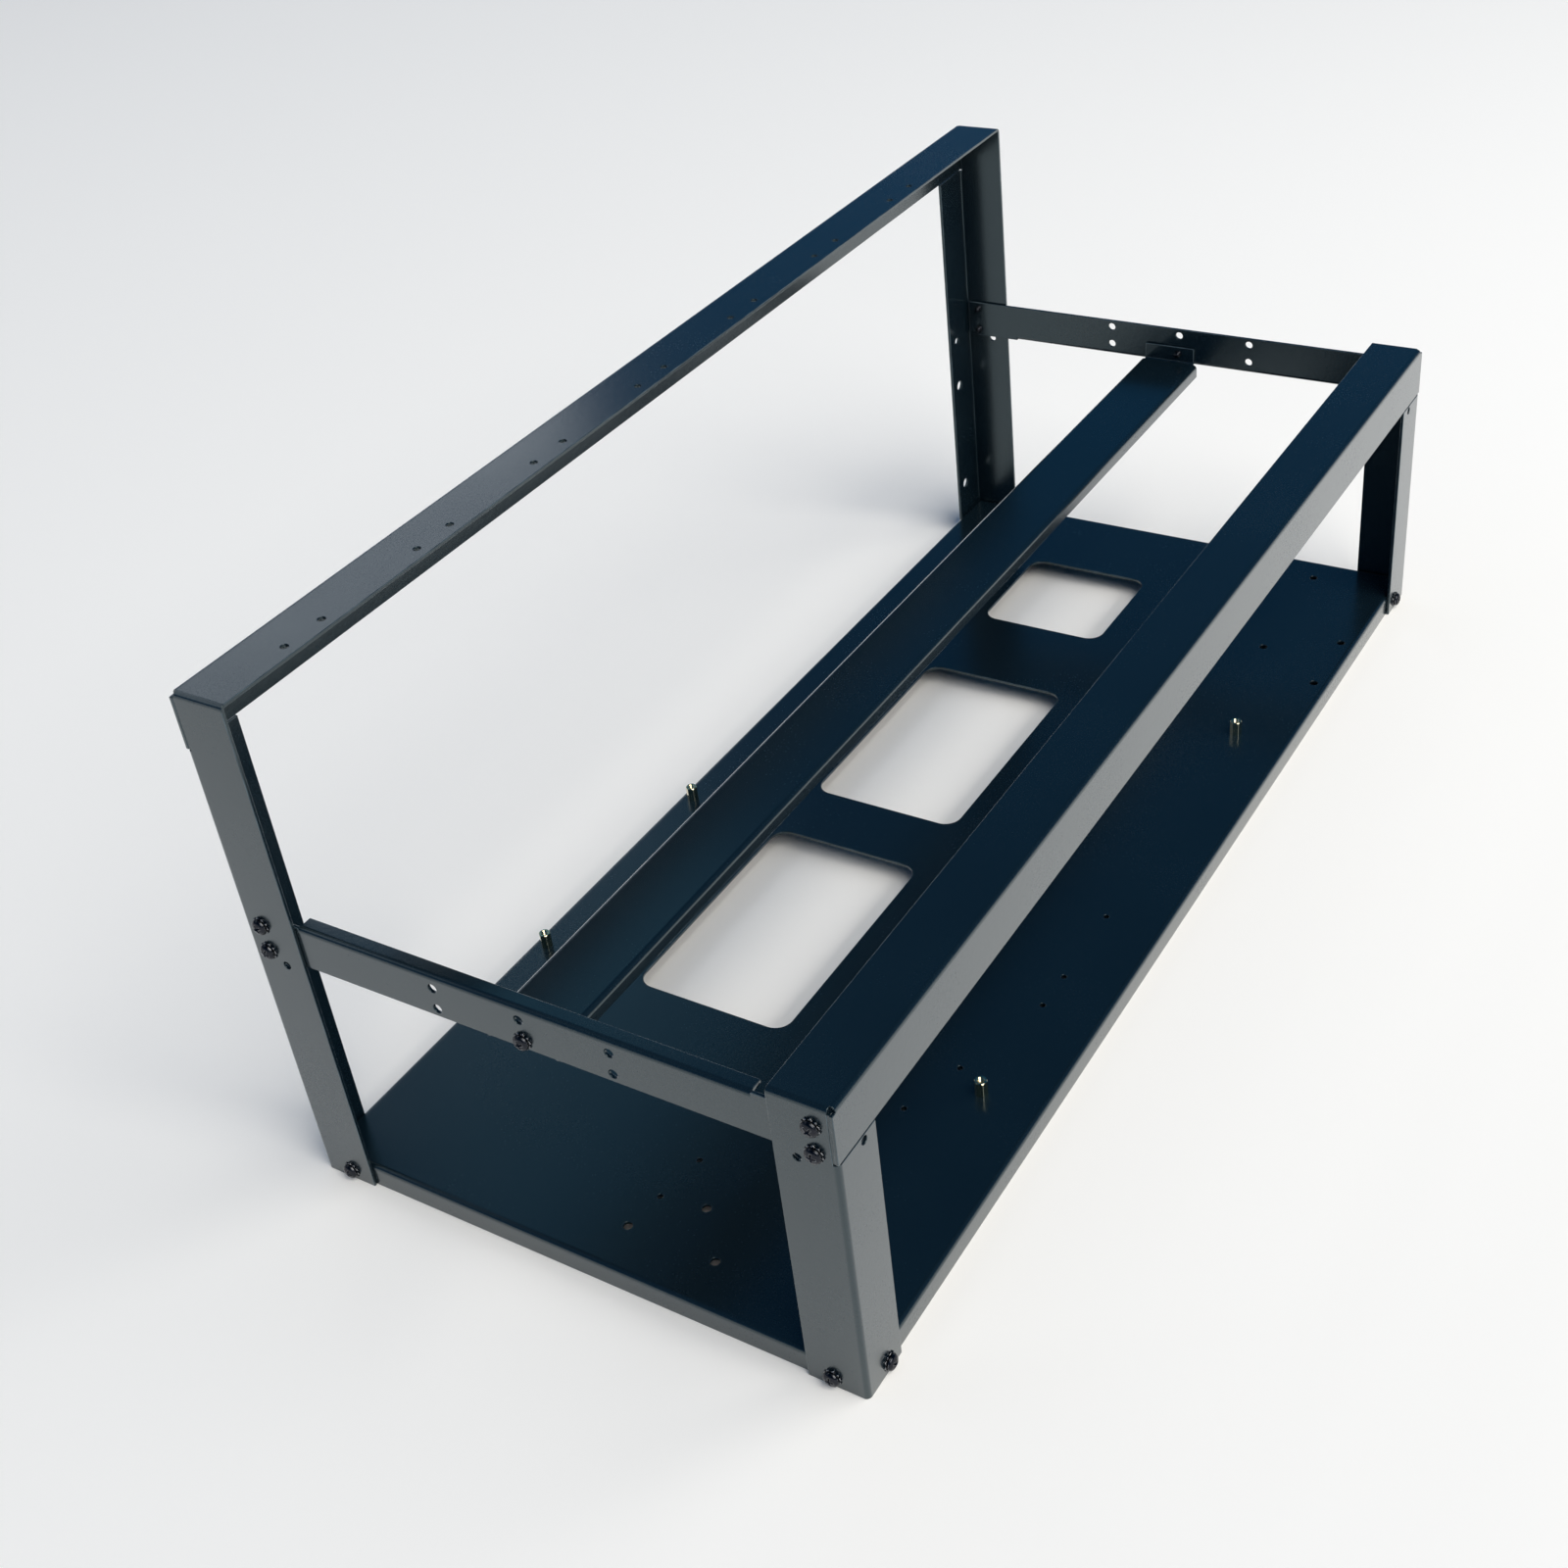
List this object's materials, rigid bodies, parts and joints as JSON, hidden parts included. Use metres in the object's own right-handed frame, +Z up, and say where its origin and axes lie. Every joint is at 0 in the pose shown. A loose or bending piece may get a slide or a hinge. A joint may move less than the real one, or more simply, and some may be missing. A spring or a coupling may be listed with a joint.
{
  "type": "mining rig frame",
  "caption": "Open sheet-metal frame with a flanged base tray, a low front arch and a tall rear arch tied by rails, for a mining computer's board and cards.",
  "frame": {"origin": "on the ground at the middle of the footprint", "axes": "+X along the length to the right, +Y to the rear, where the tall arch stands, +Z up"},
  "size_m": [0.6131, 0.2714, 0.243],
  "materials": {
    "frame_coat": "satin blue-black powder coat",
    "brass": "pale polished brass",
    "black_steel": "black zinc"
  },
  "bodies": {
    "root": {"base_tray": "frame_coat", "front_arch": "frame_coat", "rear_arch": "frame_coat", "left_end_rail": "frame_coat", "right_end_rail": "frame_coat", "middle_rail": "frame_coat", "standoff_front_left": "brass", "standoff_front_right": "brass", "standoff_rear_left": "brass", "standoff_rear_middle": "brass", "front_left_rail_screws": "black_steel", "front_left_tray_screws": "black_steel", "front_right_rail_screws": "black_steel", "front_right_tray_screws": "black_steel", "rear_left_rail_screws": "black_steel", "rear_left_tray_screws": "black_steel", "rear_right_rail_screws": "black_steel", "rear_right_tray_screws": "black_steel", "left_middle_screws": "black_steel", "right_middle_screws": "black_steel", "front_left_rail_washers": "black_steel", "front_left_tray_washers": "black_steel", "front_right_rail_washers": "black_steel", "front_right_tray_washers": "black_steel", "rear_left_rail_washers": "black_steel", "rear_left_tray_washers": "black_steel", "rear_right_rail_washers": "black_steel", "rear_right_tray_washers": "black_steel", "left_middle_washers": "black_steel", "right_middle_washers": "black_steel"}
  },
  "joints": []
}
